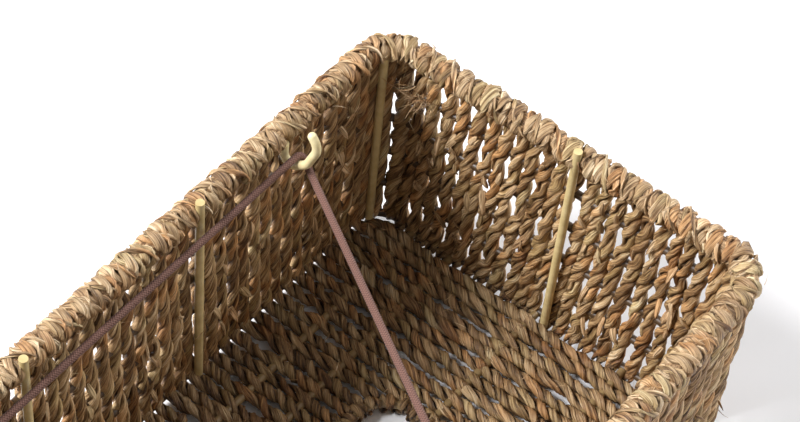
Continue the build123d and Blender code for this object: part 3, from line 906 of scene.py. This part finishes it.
# -------------------------------------------------------------- woven pieces
for name, batch in walls.items():
    ob = batch.mesh("rope_wall_" + name)
    ob.data.materials.append(M_WALL)
    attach(ob, "basket")
    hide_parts("weave_" + name)
for batch, name, node, mat, sl in (
    (floor_parts["rear"], "rope_floor_rear", "weave_floor", M_FLOOR, "seagrass_floor"),
    (floor_parts["fore"], "rope_floor_fore", "weave_floor", M_FLOOR, "seagrass_floor"),
    (slot_b, "rope_slot_border", "slot_binding", M_FLOOR, "seagrass_floor"),
    (rim_parts["rear"], "rope_rim_rear", "rim_binding", M_RIM, "seagrass_rim"),
    (rim_parts["fore"], "rope_rim_fore", "rim_binding", M_RIM, "seagrass_rim"),
):
    ob = batch.mesh(name)
    ob.data.materials.append(mat)
    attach(ob, "basket")
    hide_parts(node)
ob = fray.mesh("loose_fibres")
ob.data.materials.append(M_RIM)
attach(ob, "basket")


# ------------------------------------------------------------------- elastic
def fillet_path(pts, radii, step):
    """Straight runs joined by tangent arcs, in space."""
    pts = [np.asarray(p, float) for p in pts]
    dense = [pts[0]]
    for i in range(1, len(pts) - 1):
        A, Bp, Cp = pts[i - 1], pts[i], pts[i + 1]
        u, w = unit(A - Bp), unit(Cp - Bp)
        half = math.acos(np.clip((u * w).sum(), -1, 1)) / 2
        r = radii[i - 1]
        c = Bp + unit(u + w) * r / math.sin(half)
        t = r / math.tan(half)
        v0, v1 = Bp + u * t - c, Bp + w * t - c
        tot = math.pi - 2 * half
        for f in np.linspace(0, 1, 16):
            dense.append(c + (math.sin((1 - f) * tot) * v0 + math.sin(f * tot) * v1) / math.sin(tot))
    dense.append(pts[-1])
    dense = np.array(dense)
    d = arclen(dense)
    n = int(d[-1] / step)
    s = np.linspace(0, d[-1], n)
    # keep the bends: straight runs sampled coarser than bends would lose them
    return np.stack([np.interp(s, d, dense[:, k]) for k in range(3)], -1), s


def parallel_frame(P, closed=False):
    T = unit(np.gradient(P, axis=0))
    ref = np.array([0, 0, 1.0])
    N = np.zeros_like(P)
    n = unit(ref - (ref @ T[0]) * T[0])
    for i in range(len(P)):
        n = n - (n @ T[i]) * T[i]
        n = n / np.linalg.norm(n)
        N[i] = n
    return T, N, np.cross(T, N)


def cord_mesh(name, P, r, sides=14, closed=False, mat=None):
    T, N, B = parallel_frame(P)
    s = arclen(P)
    M = len(P)
    th = np.arange(sides + 1) * 2 * np.pi / sides     # seam kept open for clean attributes
    V = P[:, None, :] + r * (np.cos(th)[None, :, None] * N[:, None, :] + np.sin(th)[None, :, None] * B[:, None, :])
    ns = sides + 1
    i = np.arange(M - 1)[:, None] * ns
    j = np.arange(sides)[None, :]
    q = np.stack([i + j, i + j + 1, i + ns + j + 1, i + ns + j], -1).reshape(-1, 4)
    me = bpy.data.meshes.new(name)
    caps = [list(range(sides))[::-1], [(M - 1) * ns + k for k in range(sides)]]
    me.from_pydata((V.reshape(-1, 3) * MM).tolist(), [], q.tolist() + ([] if closed else caps))
    fib = np.zeros((M, ns, 3))
    fib[..., 0] = np.arange(ns) / sides
    fib[..., 2] = s[:, None]
    at = me.attributes.new("sg_fib", "FLOAT_VECTOR", "POINT")
    at.data.foreach_set("vector", fib.astype(np.float32).ravel())
    me.polygons.foreach_set("use_smooth", np.ones(len(me.polygons), bool))
    ob = bpy.data.objects.new(name, me)
    bpy.context.scene.collection.objects.link(ob)
    ob.data.materials.append(mat)
    return ob


E_R = 1.25
P1 = np.array([79.9, 66.1, 85.4]); P2 = np.array([79.9, 62.7, 79.6]); A1 = np.array([2.2, -62.05, 89.5])
mx = np.array([-1, 1, 1.0])
dd = unit(A1 - P2)
ROOT = P2 + dd * (53.0 - P2[1]) / dd[1]
mid = np.array([0.0, 66.1, 85.4])
loop_pts = [mid, P1, P2, A1, A1 * mx, P2 * mx, P1 * mx, mid - np.array([0.001, 0, 0])]
EP, es = fillet_path(loop_pts, [2.6, 2.6, 3.3, 3.3, 2.6, 2.6], 0.42)
elastic = cord_mesh("elastic_loop_cord", EP, E_R, mat=M_ELASTIC)
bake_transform(elastic)
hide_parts("elastic_back_run", "elastic_front_loop")

# the knot: two turns of the cord round its own run and two short tails
dl = unit(A1 * mx - ROOT * mx)
k0 = ROOT * mx + dl * 34.0
u = unit(np.cross(dl, [0, 0, 1.0])); w = np.cross(dl, u)
tt = np.linspace(0, 1, 90)
ang = tt * 2 * np.pi * 2.0
rad = 1.75 + 0.25 * np.sin(ang * 0.5)
KP = k0 + np.outer(0.6 + 4.6 * tt, dl) + (rad * np.cos(ang))[:, None] * u + (rad * np.sin(ang))[:, None] * w
tail0 = KP[0] + np.outer(np.linspace(7.0, 0.35, 14), unit(-0.45 * dl + 0.75 * unit(KP[0] - KP[1]) + 0.25 * u))
tail1 = KP[-1] + np.outer(np.linspace(0.35, 6.0, 12), unit(0.5 * dl + 0.75 * unit(KP[-1] - KP[-2]) - 0.15 * w))
KP = np.concatenate([tail0, KP, tail1])
for _ in range(3):
    KP[1:-1] = (KP[:-2] + 2 * KP[1:-1] + KP[2:]) / 4
knot = cord_mesh("elastic_knot_cord", KP, 1.12, mat=M_ELASTIC)
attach(knot, "elastic_loop")
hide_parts("elastic_knot")

# --------------------------------------------------------- carried CAD pieces
for name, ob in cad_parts.items():
    if name.startswith("hook"):
        ob.data.materials.clear(); ob.data.materials.append(M_HOOK)
    # painted shade: wall, rim and base wires take the near-black painted-shade copy of the wire paint
    elif name.startswith(("rim_wire", "wall_wire", "base_wire")):
        ob.data.materials.clear(); ob.data.materials.append(M_SHADE_DARK_WIRE)
    # painted shade: floor and slot wires take the dark painted-shade copy of the wire paint
    elif name.startswith(("slot_wire", "floor_wire")):
        ob.data.materials.clear(); ob.data.materials.append(M_SHADED_FLOOR_WIRE)
    elif name.startswith("stake"):
        ob.data.materials.clear(); ob.data.materials.append(M_WIRE)

# --------------------------------------------------------------------- stage
gmesh = bpy.data.meshes.new("studio_floor")
gmesh.from_pydata([(-7, -7, 0), (7, -7, 0), (7, 7, 0), (-7, 7, 0)], [], [(0, 1, 2, 3)])
ground = bpy.data.objects.new("studio_floor", gmesh)
bpy.context.scene.collection.objects.link(ground)
gm, gnt, gb = new_mat("studio_floor")
gn = gnt.nodes.new("ShaderNodeTexNoise")
gn.inputs["Scale"].default_value = 3.0
gr = ramp(gnt, gn.outputs[0], [(0.0, (0.93, 0.935, 0.955)), (1.0, (0.95, 0.955, 0.97))])
gnt.links.new(gr, gb.inputs["Base Color"])
gb.inputs["Roughness"].default_value = 0.9
ground.data.materials.append(gm)

world = bpy.data.worlds.new("studio")
bpy.context.scene.world = world
world.use_nodes = True
bg = world.node_tree.nodes["Background"]
bg.inputs[0].default_value = (1.0, 0.965, 0.93, 1)
bg.inputs[1].default_value = 0.27


def area(name, pos, target, size, watts, color=(1, 1, 1)):
    data = bpy.data.lights.new(name, "AREA")
    data.shape = "DISK"
    data.size = size
    data.energy = watts
    data.color = color
    ob = bpy.data.objects.new(name, data)
    bpy.context.scene.collection.objects.link(ob)
    ob.location = pos
    ob.rotation_euler = (Vector(target) - Vector(pos)).to_track_quat("-Z", "Y").to_euler()
    return ob


area("key", (-1.75, 1.72, 2.35), (0.05, 0.0, 0.03), 1.40, 215.0, (0.985, 0.985, 1.0))
area("fill", (0.1, -1.4, 1.1), (0.0, 0.0, 0.05), 0.9, 3.0, (0.97, 0.98, 1.0))
area("side", (1.3, -0.50, 0.85), (0.1, -0.05, 0.0), 1.0, 20.0, (0.98, 0.985, 1.0))

# -------------------------------------------------------------------- camera
yaw, pitch, roll = (math.radians(v) for v in (56.9, 51.0, 6.5))
f = np.array([math.sin(yaw) * math.cos(pitch), math.cos(yaw) * math.cos(pitch), -math.sin(pitch)])
r = np.array([math.cos(yaw), -math.sin(yaw), 0.0])
u0 = np.cross(r, f)
c, s_ = math.cos(roll), math.sin(roll)
r2, u2 = c * r + s_ * u0, -s_ * r + c * u0
cam_data = bpy.data.cameras.new("camera")
cam_data.sensor_width = 36.0
cam_data.lens = 108.0
cam_data.clip_start = 0.01
cam = bpy.data.objects.new("camera", cam_data)
bpy.context.scene.collection.objects.link(cam)
cam.matrix_world = Matrix(((r2[0], u2[0], -f[0], -0.3148), (r2[1], u2[1], -f[1], -0.2310),
                           (r2[2], u2[2], -f[2], 0.6703), (0, 0, 0, 1)))
bpy.context.scene.camera = cam
bpy.context.scene.view_settings.view_transform = "Standard"
